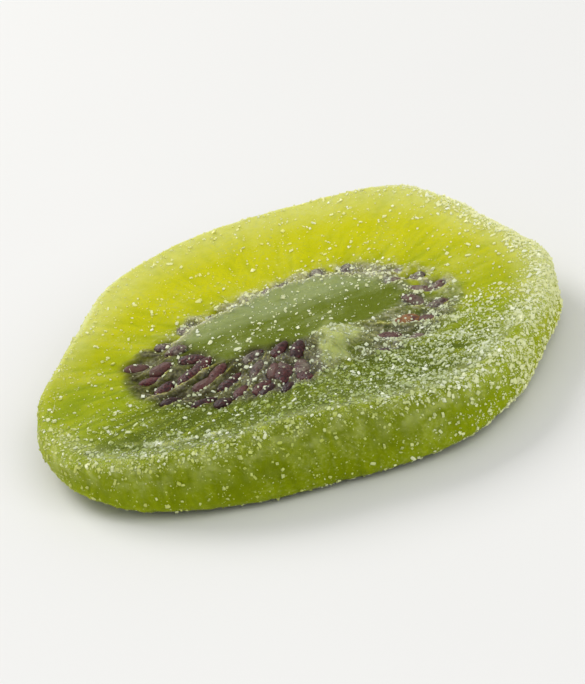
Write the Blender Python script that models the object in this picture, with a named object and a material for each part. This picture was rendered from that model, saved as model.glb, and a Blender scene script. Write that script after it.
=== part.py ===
"""A candied and dried kiwi slice as one solid: flesh, core, and the seeds that stand out of both cut faces.

Run it with: blender --background --python part.py
Metres, +Z up. The slice lies on Z = 0, and the origin is the middle of its footprint.
"""

import math
import random

import bmesh
import bpy
from mathutils import Matrix, Vector, noise

MM = 0.001

# The widest part of the rim, every 30 degrees from +X round the core: a round fruit, dried a little crooked.
RIM_RADIUS = [r * MM for r in (22.1, 21.5, 24.4, 23.2, 23.3, 20.6, 22.0, 23.2, 22.5, 21.5, 23.7, 22.1)]
# The height of the rim's crest at those places. The slice is thickest at the front, towards -Y.
CREST_HEIGHT = [h * MM for h in (5.2, 5.5, 5.9, 5.9, 5.9, 5.6, 4.9, 4.7, 6.1, 7.0, 5.8, 5.1)]
# How far the rim's lower edge has curled up there.
EDGE_LIFT = [z * MM for z in (0.4, 0.2, 0.2, 0.2, 0.2, 0.2, 0.5, 0.9, 0.2, 0.0, 0.35, 0.8)]
CURL_FROM = 0.79

# The crest lies this far inside the widest part of the rim, and the lower edge a little further.
CREST_INSET = 1.1 * MM
FOOT_INSET = 1.6 * MM
EDGE_ROUNDING = 0.21
SIDE_BULGE = 0.25 * MM

# How much of the flesh's rise from the seeded zone to the crest is an even slope. The rest is a gentle step.
EVEN_SLOPE = 0.6

# The seeded zone is an uneven oval round the core, given as the rim is. Its groove lies just inside its edge.
ZONE_RADIUS = [r * MM for r in (14.5, 12.7, 11.8, 10.4, 10.1, 12.7, 14.3, 12.8, 11.2, 9.4, 9.9, 13.4)]
GROOVE_AT = 0.88
GROOVE_HEIGHT = 4.35 * MM
GROOVE_BANK = 0.25 * MM

# The core is a low pillow that leans up towards the back, +Y. It ends in a steep shoulder there, and in a
# long flank at the front, which starts nearer the middle.
CORE_EDGE_BACK = 0.69
CORE_EDGE_FRONT = 0.30
CORE_RISE = 0.88 * MM
CORE_CROWN = 0.25
CORE_LEAN = 0.045

# A pale bridge of flesh without seeds crosses the groove at the front.
BRIDGE_CENTRE = Vector((3.0, -5.8)) * MM
BRIDGE_SPREAD = Vector((1.2, 4.3)) * MM
BRIDGE_HEIGHT = 0.75 * MM

# The walls between the seed chambers run on as faint ribs through the flesh.
CHAMBERS = 27
WALL_HEIGHT = 0.14 * MM
RIB_HEIGHT = 0.035 * MM

# The underside is hollow round the core. The ring of flesh round that has warped a little in drying, so the
# slice stands on four low spots of it. The one at the front left has a flat patch.
FOOT_RING_FROM = 1.06
FOOT_ANGLES = [math.radians(a) for a in (50.0, 140.0, 225.0, 320.0)]
FOOT_PATCH = math.radians(2.0)
FOOT_SPREAD = math.radians(12.0)
FOOT_ROUNDING = 1.5
WARP = 0.35 * MM
UNDER_GROOVE_DEPTH = 0.75 * MM
UNDER_CORE_DEPTH = 0.35 * MM
UNDER_WALL_HEIGHT = 0.12 * MM

# Drying has left the upper face and the side a little wavy.
WAVE_SIZE = 6.0 * MM
WAVE_HEIGHT = 0.18 * MM
SIDE_WAVE_HEIGHT = 0.36 * MM

# A seed is a flattened drop. It lies along its chamber, turned by up to SEED_TURN, a little over half sunk.
SEED_LENGTH = 2.3 * MM
SEED_WIDTH = 1.35 * MM
SEED_THICKNESS = 0.95 * MM
SEED_TAPER = 0.4
SEED_SINK = 0.08 * MM
SEED_TURN = math.radians(28.0)
SEED_SIDES = 6
SEED_RINGS = 4
# The step, in zone shares and in radians, over which the slope under a seed is read.
SLOPE_STEP = 0.04
# The rows of seeds, as (zone share, middle, reach, step). A row lies in the chambers within so many degrees
# of its middle direction, with a seed in one of every so many. The inner rows lie on the core's front flank.
TOP_SEED_ROWS = (
    (0.88, 0.0, 180.0, 1),
    (0.72, 218.0, 58.0, 1),
    (0.73, 355.0, 36.0, 1),
    (0.56, 224.0, 50.0, 1),
    (0.40, 235.0, 40.0, 2),
)
UNDER_SEED_ROWS = ((0.86, 0.0, 180.0, 1),)
RANDOM_SEED = 11

SEGMENTS = 108
SHARP_EDGE = math.radians(35.0)
FLESH_COLOUR = (0.30, 0.36, 0.03, 1.0)


def smooth_step(low, high, value):
    """0 below low, 1 above high, and a smooth rise between them."""
    share = min(max((value - low) / (high - low), 0.0), 1.0)
    return share * share * (3.0 - 2.0 * share)


def round_curve(values, angle):
    """The value at an angle on a smooth closed curve through values evenly spaced round the slice."""
    place = angle / math.tau % 1.0 * len(values)
    index = int(place)
    share = place - index
    before, start, end, after = (values[(index + step) % len(values)] for step in (-1, 0, 1, 2))
    bend = 2.0 * before - 5.0 * start + 4.0 * end - after
    turn = 3.0 * (start - end) + after - before
    return start + 0.5 * share * (end - before + share * (bend + share * turn))


def zone_radius(angle):
    """The distance from the middle of the core to the edge of the seeded zone."""
    return round_curve(ZONE_RADIUS, angle)


def chamber_wall(angle):
    """1 on a wall between two seed chambers, -1 in the middle of a chamber."""
    return math.cos(CHAMBERS * angle)


def bridge(x, y):
    """How far the pale bridge stands up."""
    across = (x - BRIDGE_CENTRE.x) / BRIDGE_SPREAD.x
    along = (y - BRIDGE_CENTRE.y) / BRIDGE_SPREAD.y
    return BRIDGE_HEIGHT * math.exp(-across * across - along * along)


def core_edge(angle):
    """The zone share at which the core starts to fall to the groove."""
    return CORE_EDGE_BACK + (CORE_EDGE_FRONT - CORE_EDGE_BACK) * smooth_step(-0.1, 0.7, -math.sin(angle))


def upper_face(angle, zone_share, flesh_share, y):
    """The height of the upper face, without the bridge.

    zone_share is 1 at the edge of the seeded zone, and flesh_share runs from 0 there to 1 at the crest.
    """
    edge = core_edge(angle)
    pillow = CORE_RISE * (1.0 - CORE_CROWN * zone_share * zone_share) + CORE_LEAN * y
    height = GROOVE_HEIGHT + pillow * (1.0 - smooth_step(edge, GROOVE_AT, zone_share))
    height += GROOVE_BANK * smooth_step(GROOVE_AT, 1.0, zone_share)
    rise = EVEN_SLOPE * flesh_share + (1.0 - EVEN_SLOPE) * smooth_step(0.0, 1.0, flesh_share)
    height += (round_curve(CREST_HEIGHT, angle) - height) * rise
    walls = smooth_step(edge - 0.15, 0.85, zone_share) * (1.0 - smooth_step(0.0, 0.25, flesh_share))
    ribs = smooth_step(0.0, 0.25, flesh_share) * (1.0 - smooth_step(0.5, 0.95, flesh_share))
    return height + (WALL_HEIGHT * walls + RIB_HEIGHT * ribs) * chamber_wall(angle)


def away_from_feet(angle):
    """0 where the slice stands on its ring, 1 where the ring has lifted between two such spots."""
    nearest = min(abs((angle - foot + math.pi) % math.tau - math.pi) for foot in FOOT_ANGLES)
    share = min(max((nearest - FOOT_PATCH) / FOOT_SPREAD, 0.0), 1.0)
    return 1.0 - (1.0 - share) ** FOOT_ROUNDING


def lower_face(angle, zone_share, rim_share):
    """The height of the underside: a hollow seeded zone, a warped ring round it, and a rim that curls up."""
    hollow = 1.0 - smooth_step(GROOVE_AT, FOOT_RING_FROM, zone_share)
    core = 1.0 - smooth_step(0.45, GROOVE_AT, zone_share)
    depth = UNDER_GROOVE_DEPTH * hollow - (UNDER_GROOVE_DEPTH - UNDER_CORE_DEPTH) * core
    walls = UNDER_WALL_HEIGHT * hollow * smooth_step(0.45, 0.7, zone_share) * chamber_wall(angle)
    depth += WARP * away_from_feet(angle) * smooth_step(0.5, 0.9, zone_share)
    return depth - walls + round_curve(EDGE_LIFT, angle) * smooth_step(CURL_FROM, 1.0, rim_share)


def half_section():
    """The half section that is turned, as (station, level), from the middle of the upper face to the lower's.

    Station 1 is the edge of the seeded zone, 2 the crest of the rim and 3 its widest part.
    Level is 1 on the upper face and 0 on the lower.
    """
    upper = (0.0, 0.14, 0.28, 0.42, 0.54, 0.63, 0.71, 0.79, 0.87, 0.94, 1.0, 1.12, 1.3, 1.5, 1.7, 1.87, 2.0)
    lower = (2.0, 1.75, 1.45, 1.2, 1.08, 1.0, 0.88, 0.74, 0.58, 0.38, 0.18, 0.0)
    quarter = [math.radians(a) for a in (25.0, 50.0, 75.0)]
    points = [(station, 1.0) for station in upper]
    points += [(2.0 + math.sin(a), 1.0 - EDGE_ROUNDING * (1.0 - math.cos(a))) for a in quarter]
    points += [(3.0, level) for level in (0.7, 0.5, 0.3)]
    points += [(2.0 + math.cos(a), EDGE_ROUNDING * (1.0 - math.sin(a))) for a in quarter]
    points += [(station, 0.0) for station in lower]
    return points


def on_slice(angle, station, level):
    """The place on the slice of a point of the turned blank."""
    zone = zone_radius(angle)
    rim = round_curve(RIM_RADIUS, angle)
    inset = FOOT_INSET + (CREST_INSET - FOOT_INSET) * level
    past_zone = min(max(station - 1.0, 0.0), 1.0)
    past_crest = max(station - 2.0, 0.0)
    radius = zone * min(station, 1.0) + (rim - inset - zone) * past_zone + inset * past_crest
    x, y = radius * math.cos(angle), radius * math.sin(angle)
    wave = noise.noise(Vector((x / WAVE_SIZE, y / WAVE_SIZE, 2.0 * level)))
    top = upper_face(angle, radius / zone, past_zone, y) + bridge(x, y)
    foot = lower_face(angle, radius / zone, radius / rim)
    z = foot + (top - foot + WAVE_HEIGHT * wave) * level
    radius += past_crest * (4.0 * SIDE_BULGE * level * (1.0 - level) + SIDE_WAVE_HEIGHT * wave)
    return Vector((radius * math.cos(angle), radius * math.sin(angle), z))


def turned_slice():
    """A bmesh of the slice without seeds: the half section spun round +Z, and each point put in its place."""
    mesh = bmesh.new()
    points = [mesh.verts.new((station, 0.0, level)) for station, level in half_section()]
    edges = [mesh.edges.new(pair) for pair in zip(points, points[1:])]
    bmesh.ops.spin(
        mesh,
        geom=points + edges,
        axis=(0.0, 0.0, 1.0),
        cent=(0.0, 0.0, 0.0),
        angle=math.tau,
        steps=SEGMENTS,
        use_merge=True,
    )
    bmesh.ops.remove_doubles(mesh, verts=mesh.verts, dist=1e-5)
    for point in mesh.verts:
        station = math.hypot(point.co.x, point.co.y)
        point.co = on_slice(math.atan2(point.co.y, point.co.x), station, point.co.z)
    bmesh.ops.recalc_face_normals(mesh, faces=mesh.faces)
    bmesh.ops.triangulate(mesh, faces=mesh.faces)
    return mesh


def seed_mesh():
    """A kiwi seed along X, blunt at +X and pointed at -X."""
    mesh = bmesh.new()
    bmesh.ops.create_uvsphere(mesh, u_segments=SEED_SIDES, v_segments=SEED_RINGS, radius=0.5)
    bmesh.ops.rotate(mesh, verts=mesh.verts, matrix=Matrix.Rotation(math.pi / 2, 3, "Y"))
    for point in mesh.verts:
        point.co.yz *= 1.0 - SEED_TAPER * (0.5 - point.co.x)
    bmesh.ops.scale(mesh, verts=mesh.verts, vec=(SEED_LENGTH, SEED_WIDTH, SEED_THICKNESS))
    data = bpy.data.meshes.new("seed")
    mesh.to_mesh(data)
    mesh.free()
    return data


def seed_places(rows, draw):
    """(angle, zone share, turn) for each seed of a face, loosely in rows in the chambers."""
    for row_share, middle, reach, step in rows:
        for chamber in range(CHAMBERS):
            angle = (chamber + 0.5 + draw.uniform(-0.2, 0.2)) * math.tau / CHAMBERS
            share = row_share + draw.uniform(-0.07, 0.07)
            turn = draw.uniform(-SEED_TURN, SEED_TURN)
            away = (angle - math.radians(middle) + math.pi) % math.tau - math.pi
            if abs(away) <= math.radians(reach) and chamber % step == 0:
                yield angle, share, turn


def seed_pose(angle, share, turn, level):
    """Where a seed lies in the upper face, level 1, or the lower, level 0: along the slope and half sunk."""
    here = on_slice(angle, share, level)
    along = (on_slice(angle, share + SLOPE_STEP, level) - here).normalized()
    beside = on_slice(angle + SLOPE_STEP, share, level) - here
    up = along.cross(beside).normalized() * (1.0 if level else -1.0)
    side = up.cross(along)
    axes = Matrix((along, side, up)).transposed() @ Matrix.Rotation(turn, 3, "Z")
    return Matrix.Translation(here - up * SEED_SINK) @ axes.to_4x4()


def seeds_collection():
    """A collection of the seeds of both faces."""
    draw = random.Random(RANDOM_SEED)
    data = seed_mesh()
    seeds = bpy.data.collections.new("seeds")
    bpy.context.scene.collection.children.link(seeds)
    for level, rows in ((1.0, TOP_SEED_ROWS), (0.0, UNDER_SEED_ROWS)):
        for angle, share, turn in seed_places(rows, draw):
            pose = seed_pose(angle, share, turn, level)
            if level and bridge(pose.translation.x, pose.translation.y) > 0.4 * BRIDGE_HEIGHT:
                continue
            seed = bpy.data.objects.new("seed", data)
            seed.matrix_world = pose
            seeds.objects.link(seed)
    return seeds


def fuse(body, collection):
    """Joins a collection's objects to the body with one Boolean union, and removes them."""
    union = body.modifiers.new("seeds", "BOOLEAN")
    union.operation = "UNION"
    union.operand_type = "COLLECTION"
    union.collection = collection
    union.solver = "EXACT"
    bpy.context.view_layer.update()
    fused = bpy.data.meshes.new_from_object(body.evaluated_get(bpy.context.evaluated_depsgraph_get()))
    body.modifiers.remove(union)
    body.data = fused
    for item in list(collection.objects):
        bpy.data.objects.remove(item)
    bpy.data.collections.remove(collection)


def flesh_material():
    """The green of sugared kiwi flesh."""
    material = bpy.data.materials.new("kiwi_flesh")
    material.use_nodes = True
    shader = material.node_tree.nodes["Principled BSDF"]
    shader.inputs["Base Color"].default_value = FLESH_COLOUR
    shader.inputs["Roughness"].default_value = 0.55
    shader.inputs["Metallic"].default_value = 0.0
    return material


def centre_on_origin(body):
    """Puts the middle of the slice's footprint on the origin."""
    xs = [point.co.x for point in body.data.vertices]
    ys = [point.co.y for point in body.data.vertices]
    body.data.transform(Matrix.Translation((-(min(xs) + max(xs)) / 2, -(min(ys) + max(ys)) / 2, 0.0)))


def main():
    """Clears the scene and builds the slice."""
    for item in list(bpy.data.objects):
        bpy.data.objects.remove(item)
    mesh = turned_slice()
    data = bpy.data.meshes.new("kiwi_slice")
    mesh.to_mesh(data)
    mesh.free()
    body = bpy.data.objects.new("kiwi_slice", data)
    bpy.context.scene.collection.objects.link(body)
    fuse(body, seeds_collection())
    centre_on_origin(body)
    body.data.materials.clear()
    body.data.materials.append(flesh_material())
    body.data.shade_smooth()
    body.data.set_sharp_from_angle(angle=SHARP_EDGE)


main()
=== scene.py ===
"""A candied and dried kiwi slice: translucent flesh, a pale core, a ring of dark seeds, and sugar all over.

Metres, +Z up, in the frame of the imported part, which gives the slice its place and its box.
"""

import logging
import math
import random
from dataclasses import dataclass
from enum import Enum
from typing import Iterator, Sequence

import bmesh
import bpy
import numpy as np
from mathutils import Matrix, Vector, kdtree, noise

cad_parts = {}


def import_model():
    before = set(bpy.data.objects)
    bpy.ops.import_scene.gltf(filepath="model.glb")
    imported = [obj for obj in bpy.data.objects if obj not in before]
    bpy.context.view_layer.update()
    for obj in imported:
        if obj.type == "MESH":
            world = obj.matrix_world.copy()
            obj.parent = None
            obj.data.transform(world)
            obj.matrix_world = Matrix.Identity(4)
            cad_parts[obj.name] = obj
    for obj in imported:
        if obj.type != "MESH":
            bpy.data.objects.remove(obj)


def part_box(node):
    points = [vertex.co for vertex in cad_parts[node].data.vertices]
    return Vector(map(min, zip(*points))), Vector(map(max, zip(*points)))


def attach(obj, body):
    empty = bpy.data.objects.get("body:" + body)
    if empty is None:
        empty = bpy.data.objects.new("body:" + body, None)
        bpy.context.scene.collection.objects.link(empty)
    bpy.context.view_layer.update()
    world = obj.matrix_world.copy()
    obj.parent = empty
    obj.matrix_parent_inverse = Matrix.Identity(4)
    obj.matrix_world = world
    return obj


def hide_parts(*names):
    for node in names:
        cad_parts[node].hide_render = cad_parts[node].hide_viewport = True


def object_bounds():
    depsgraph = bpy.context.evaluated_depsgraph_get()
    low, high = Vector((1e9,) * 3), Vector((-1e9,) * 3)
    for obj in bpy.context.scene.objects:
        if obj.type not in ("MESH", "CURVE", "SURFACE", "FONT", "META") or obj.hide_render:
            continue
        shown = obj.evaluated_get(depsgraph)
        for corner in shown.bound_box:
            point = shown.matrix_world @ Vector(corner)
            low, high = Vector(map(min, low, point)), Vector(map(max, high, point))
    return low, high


LOG = logging.getLogger("kiwi_slice")
MM = 0.001
NODE = "kiwi_slice"
BODY = "root"

# The direction from the middle of the core in which the crease in the flesh lies.
CREASE_ANGLE = math.radians(232.0)

# Stations say how far out a point lies. The middle of the core is at 0.
ZONE_EDGE = 1.0
CREST = 2.0
WIDEST = 3.0

Colour = tuple[float, float, float]
# The index, the identifier or the name of a node's socket.
Key = int | str


class Slot(Enum):
    """The record's material slots."""

    FLESH = "flesh"
    SEED = "seed"
    SUGAR = "sugar"


class Face(Enum):
    """The two cut faces, as levels of the slice: 1 is up."""

    UPPER = 1.0
    LOWER = 0.0


class Crystal(Enum):
    """The shape of a sugar crystal: eight-sided, a slanted block, or one with bevelled edges."""

    GRAIN = "grain"
    BLOCK = "block"
    BEVELLED = "bevelled"


class Mark(Enum):
    """What a piece is at a point, as attributes of its mesh from 0 to 1. A sunk streak goes down to -1."""

    CORE = "core"
    FROST = "frost"
    MEMBRANE = "membrane"
    BRIDGE = "bridge"
    # The painted shade of the gaps round the seeds.
    GAP_SHADE = "pocket"
    # GLOW is light through the flesh, painted into the flesh's colour and the sugar's tint.
    GLOW = "glow"
    HAZE = "haze"
    STREAK = "streak"
    # On a seed or a crystal, TONE is its own tone; on the flesh it is the core's painted sheen.
    TONE = "tone"
    WHITE = "white"


def millimetres(*lengths: float) -> tuple[float, ...]:
    """Lengths given in millimetres, in metres."""
    return tuple(length * MM for length in lengths)


def smooth_step(low: float, high: float, value: float) -> float:
    """0 below low, 1 above high, and a smooth rise between them."""
    share = min(max((value - low) / (high - low), 0.0), 1.0)
    return share * share * (3.0 - 2.0 * share)


@dataclass(frozen=True)
class Rise:
    """A smooth rise from 0 at a low value to a height at a high one."""

    low: float
    high: float
    height: float = 1.0

    def at(self, value: float) -> float:
        """How high it is at a value."""
        return self.height * smooth_step(self.low, self.high, value)


def noise_round(angle: float, turn: float, along: float) -> float:
    """Noise round the core, from -1 to 1: it changes turn times as fast as the angle, and with along."""
    return noise.noise(Vector((turn * math.cos(angle), turn * math.sin(angle), along)))


def noise_twice(place: Vector, size: float, finer: float, share: float) -> float:
    """Noise with spots of one size, plus a share of noise whose spots are finer by a factor."""
    return noise.noise(place / size) + share * noise.noise(place / (finer * size))


def round_curve(values: Sequence[float], angle: float) -> float:
    """The value at an angle on a smooth closed curve through values evenly spaced round the slice.

    Args:
        values: The values, the first at +X and the others counterclockwise.
        angle: The direction to read, in radians from +X.

    Returns:
        The curve's value in that direction.
    """
    place = angle / math.tau % 1.0 * len(values)
    index = int(place)
    share = place - index
    before, start, end, after = (values[(index + step) % len(values)] for step in (-1, 0, 1, 2))
    bend = 2.0 * before - 5.0 * start + 4.0 * end - after
    turn = 3.0 * (start - end) + after - before
    return start + 0.5 * share * (end - before + share * (bend + share * turn))


def add_object(name: str, data: bpy.types.ID) -> bpy.types.Object:
    """Adds an object to the scene.

    Args:
        name: Its name.
        data: Its mesh, lamp or camera.

    Returns:
        The object.
    """
    made = bpy.data.objects.new(name, data)
    bpy.context.scene.collection.objects.link(made)
    return made


def add_piece(name: str, mesh: bmesh.types.BMesh, material: bpy.types.Material) -> bpy.types.Object:
    """Adds a finished mesh to the scene as a smooth piece.

    Args:
        name: The piece's name.
        mesh: The mesh, which is freed.
        material: What it is made of.

    Returns:
        The piece.
    """
    data = bpy.data.meshes.new(name)
    mesh.to_mesh(data)
    mesh.free()
    data.shade_smooth()
    data.materials.append(material)
    return add_object(name, data)


class Value:
    """An output socket that can stand in a Python expression, which adds the Math nodes."""

    def __init__(self, shading: "Shading", socket: bpy.types.NodeSocket) -> None:
        """Keeps the socket and the shading whose tree it is in."""
        self.shading = shading
        self.socket = socket

    def _math(self, operation: str, *terms: "float | Value") -> "Value":
        """A Math node's result on terms that are values or numbers."""
        return self.shading.node("ShaderNodeMath", {"operation": operation}, dict(enumerate(terms)))

    def __add__(self, other: "float | Value") -> "Value":
        """This value plus another."""
        return self._math("ADD", self, other)

    __radd__ = __add__

    def __sub__(self, other: "float | Value") -> "Value":
        """This value less another."""
        return self._math("SUBTRACT", self, other)

    def __rsub__(self, other: "float | Value") -> "Value":
        """Another value less this one."""
        return self._math("SUBTRACT", other, self)

    def __mul__(self, other: "float | Value") -> "Value":
        """This value times another."""
        return self._math("MULTIPLY", self, other)

    __rmul__ = __mul__

    def along(self, rise: Rise) -> "Value":
        """How high a rise is at this value."""
        inputs = {"Value": self, "From Min": rise.low, "From Max": rise.high, "To Max": rise.height}
        return self.shading.node("ShaderNodeMapRange", {"interpolation_type": "SMOOTHSTEP"}, inputs)


@dataclass(frozen=True)
class Mix:
    """How much there is of something: a start plus weighed patterns, taken along a rise if it has one."""

    weights: tuple[float, ...]
    start: float = 0.0
    rise: Rise | None = None

    def of(self, *patterns: Value) -> Value:
        """What the patterns give, each with its weight."""
        total = sum((weight * pattern for weight, pattern in zip(self.weights, patterns)), self.start)
        return total.along(self.rise) if self.rise else total


@dataclass(frozen=True)
class Speckle:
    """Noise over a piece: the width of its spots, its finer octaves, and how tight it is on X, Y and Z."""

    size: float
    octaves: float
    tightness: tuple[float, ...] = (1.0, 1.0, 1.0)


class Shading:
    """The node tree of one material, round its Principled shader."""

    def __init__(self, name: str) -> None:
        """Makes the material, and keeps its tree and shader.

        Args:
            name: The material's name.
        """
        self.material = bpy.data.materials.new(name)
        self.material.use_nodes = True
        self.tree = self.material.node_tree
        self.shader = self.tree.nodes["Principled BSDF"]

    def node(self, kind: str, settings: dict[str, object], inputs: dict[Key, object], key: Key = 0) -> Value:
        """Adds a node.

        Args:
            kind: The node's type.
            settings: What it is set to, before its sockets are filled.
            inputs: The values of its sockets, or what is linked to them.
            key: The output that is wanted.

        Returns:
            That output.
        """
        node = self.tree.nodes.new(kind)
        for name, setting in settings.items():
            setattr(node, name, setting)
        for name, value in inputs.items():
            self.fill(self.socket(node.inputs, name), value)
        return Value(self, self.socket(node.outputs, key))

    @staticmethod
    def socket(sockets: bpy.types.bpy_prop_collection, key: Key) -> bpy.types.NodeSocket:
        """The socket with that index, identifier or name."""
        named = (socket for socket in sockets if socket.enabled and key in (socket.identifier, socket.name))
        return sockets[key] if isinstance(key, int) else next(named)

    def fill(self, socket: bpy.types.NodeSocket, value: object) -> None:
        """Gives a socket what it should have.

        Args:
            socket: The socket.
            value: A value to link to it, or the number, vector or colour to set it to.
        """
        if isinstance(value, Value):
            self.tree.links.new(value.socket, socket)
        elif socket.type == "RGBA":
            socket.default_value = (*value, 1.0)
        else:
            socket.default_value = value

    def mark(self, mark: Mark) -> Value:
        """An attribute of the piece's mesh."""
        return self.node("ShaderNodeAttribute", {"attribute_name": mark.value}, {}, "Fac")

    def speckle(self, spots: Speckle) -> Value:
        """Noise over the piece.

        Args:
            spots: How wide, fine and tight its spots are.

        Returns:
            Values round 0.5.
        """
        coordinates = self.node("ShaderNodeTexCoord", {}, {}, "Object")
        inputs = {"Vector": coordinates, "Scale": spots.tightness}
        mapped = self.node("ShaderNodeMapping", {"vector_type": "POINT"}, inputs)
        inputs = {"Vector": mapped, "Scale": 1.0 / spots.size, "Detail": spots.octaves}
        return self.node("ShaderNodeTexNoise", {}, inputs)

    def blend(self, first: Colour | Value, second: Colour | Value, share: float | Value) -> Value:
        """The colour that is first where share is 0 and second where it is 1."""
        inputs = {"Factor_Float": share, "A_Color": first, "B_Color": second}
        return self.node("ShaderNodeMix", {"data_type": "RGBA"}, inputs, "Result_Color")

    def layers(self, base: Colour, *layers: tuple[Colour | Value, Value]) -> Value:
        """Lays colours over each other.

        Args:
            base: The lowest colour.
            layers: The others from the bottom up, each with the share of what lies under it that it hides.

        Returns:
            The colour that shows.
        """
        shown = base
        for colour, share in layers:
            shown = self.blend(shown, colour, share)
        return shown

    def bump(self, height: Value, depth: float) -> Value:
        """Normals raised by a height that runs from 0 to 1, over a depth in metres."""
        return self.node("ShaderNodeBump", {}, {"Height": height, "Distance": depth})

    def finish(self, **inputs: object) -> bpy.types.Material:
        """Fills the shader's sockets.

        Args:
            inputs: What each gets, by its name with underscores for spaces.

        Returns:
            The finished material.
        """
        for name, value in inputs.items():
            self.fill(self.shader.inputs[name.replace("_", " ")], value)
        return self.material


@dataclass(frozen=True)
class Spot:
    """A soft oval spot: 1 in its middle and 0 away from it."""

    middle: tuple[float, ...]
    spread: tuple[float, ...]

    def at(self, *place: float) -> float:
        """How strong it is at a place."""
        shifts = [(here - middle) / spread for here, middle, spread in zip(place, self.middle, self.spread)]
        return math.exp(-sum(shift * shift for shift in shifts))


@dataclass(frozen=True)
class Point:
    """A point of the surface before its fine relief, with its place measured from the middle of the core."""

    angle: float
    station: float
    level: float
    place: Vector


@dataclass(frozen=True)
class SliceForm:
    """The slice's shape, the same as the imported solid's: a half section turned round the core, then moved.

    A station is 0 at the middle of the core, 1 at the edge of the seeded zone, 2 at the crest of the rim, and
    3 at its widest part. A level is 1 on the upper face and 0 on the lower. Lists start at +X and go round,
    with 30 degrees between their values. The seeds lie in a groove round the core, which a pale bridge of
    flesh crosses at the front.
    """

    rim_radius: tuple[float, ...] = millimetres(
        22.1, 21.5, 24.4, 23.2, 23.3, 20.6, 22.0, 23.2, 22.5, 21.5, 23.7, 22.1
    )
    crest_height: tuple[float, ...] = millimetres(5.2, 5.5, 5.9, 5.9, 5.9, 5.6, 4.9, 4.7, 6.1, 7.0, 5.8, 5.1)
    edge_lift: tuple[float, ...] = millimetres(0.4, 0.2, 0.2, 0.2, 0.2, 0.2, 0.5, 0.9, 0.2, 0.0, 0.35, 0.8)
    curl_from: float = 0.79
    crest_inset: float = 1.1 * MM
    foot_inset: float = 1.6 * MM
    edge_rounding: float = 0.21
    side_bulge: float = 0.25 * MM
    even_slope: float = 0.6
    zone_radius: tuple[float, ...] = millimetres(
        14.5, 12.7, 11.8, 10.4, 10.1, 12.7, 14.3, 12.8, 11.2, 9.4, 9.9, 13.4
    )
    groove_at: float = 0.88
    groove_height: float = 4.35 * MM
    groove_bank: float = 0.25 * MM
    core_edge_back: float = 0.69
    core_edge_front: float = 0.30
    core_edge_turn: Rise = Rise(-0.1, 0.7)
    core_rise: float = 0.88 * MM
    core_crown: float = 0.25
    core_lean: float = 0.045
    bridge: Spot = Spot(millimetres(3.0, -5.8), millimetres(1.2, 4.3))
    bridge_height: float = 0.75 * MM
    chambers: int = 27
    wall_height: float = 0.14 * MM
    wall_lead: float = 0.15
    wall_full: float = 0.85
    rib_height: float = 0.035 * MM
    rib_rise: Rise = Rise(0.0, 0.25)
    rib_fall: Rise = Rise(0.5, 0.95)
    foot_ring_from: float = 1.06
    foot_angles: tuple[float, ...] = (50.0, 140.0, 225.0, 320.0)
    foot_patch: float = math.radians(2.0)
    foot_spread: float = math.radians(12.0)
    foot_rounding: float = 1.5
    warp: Rise = Rise(0.5, 0.9, 0.35 * MM)
    under_groove_depth: float = 0.75 * MM
    under_core_depth: float = 0.35 * MM
    under_core_edge: float = 0.45
    under_wall_height: float = 0.12 * MM
    under_wall_full: float = 0.7
    wave_size: float = 6.0 * MM
    wave_height: float = 0.18 * MM
    wave_change: float = 2.0
    side_wave_height: float = 0.36 * MM
    bare_lean: float = 0.9
    bare_end: float = 5.0 * MM
    bare_forward: Rise = Rise(-1.0 * MM, 2.0 * MM)
    bare_rightward: Rise = Rise(2.0 * MM, 5.0 * MM)
    outline_steps: int = 108
    outline_levels: tuple[float, ...] = (0.3, 0.5, 0.7)

    def wall(self, angle: float) -> float:
        """1 on a wall between two seed chambers, -1 in the middle of a chamber."""
        return math.cos(self.chambers * angle)

    def bare(self, place: Vector) -> float:
        """1 at the front left, where the seeds are bare and their gaps painted dark as shade, 0 away from
        there.
        """
        forward = self.bare_lean * max(-place.x - self.bare_end, 0.0) - place.y
        return self.bare_forward.at(forward) * (1.0 - self.bare_rightward.at(place.x))

    def core_edge(self, angle: float) -> float:
        """The zone share at which the core starts to fall to the groove, nearer its middle at the front."""
        front = self.core_edge_turn.at(-math.sin(angle))
        return self.core_edge_back + (self.core_edge_front - self.core_edge_back) * front

    def upper(self, angle: float, zone_share: float, flesh_share: float, y: float) -> float:
        """The height of the upper face, without the bridge.

        Args:
            angle: The direction from the middle of the core.
            zone_share: 1 at the edge of the seeded zone.
            flesh_share: 0 there and 1 at the crest.
            y: How far back the point lies.

        Returns:
            The height over the table.
        """
        pillow = self.core_rise * (1.0 - self.core_crown * zone_share * zone_share) + self.core_lean * y
        edge = self.core_edge(angle)
        height = self.groove_height + pillow * (1.0 - smooth_step(edge, self.groove_at, zone_share))
        height += self.groove_bank * smooth_step(self.groove_at, 1.0, zone_share)
        rise = self.even_slope * flesh_share + (1.0 - self.even_slope) * smooth_step(0.0, 1.0, flesh_share)
        height += (round_curve(self.crest_height, angle) - height) * rise
        walls = smooth_step(edge - self.wall_lead, self.wall_full, zone_share)
        walls *= 1.0 - self.rib_rise.at(flesh_share)
        ribs = self.rib_rise.at(flesh_share) * (1.0 - self.rib_fall.at(flesh_share))
        return height + (self.wall_height * walls + self.rib_height * ribs) * self.wall(angle)

    def away_from_feet(self, angle: float) -> float:
        """How far the ring that the slice stands on has lifted in a direction.

        Args:
            angle: The direction from the middle of the core.

        Returns:
            0 where it stands, and 1 between two such spots.
        """
        feet = (math.radians(foot) for foot in self.foot_angles)
        nearest = min(abs((angle - foot + math.pi) % math.tau - math.pi) for foot in feet)
        share = min(max((nearest - self.foot_patch) / self.foot_spread, 0.0), 1.0)
        return 1.0 - (1.0 - share) ** self.foot_rounding

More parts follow.
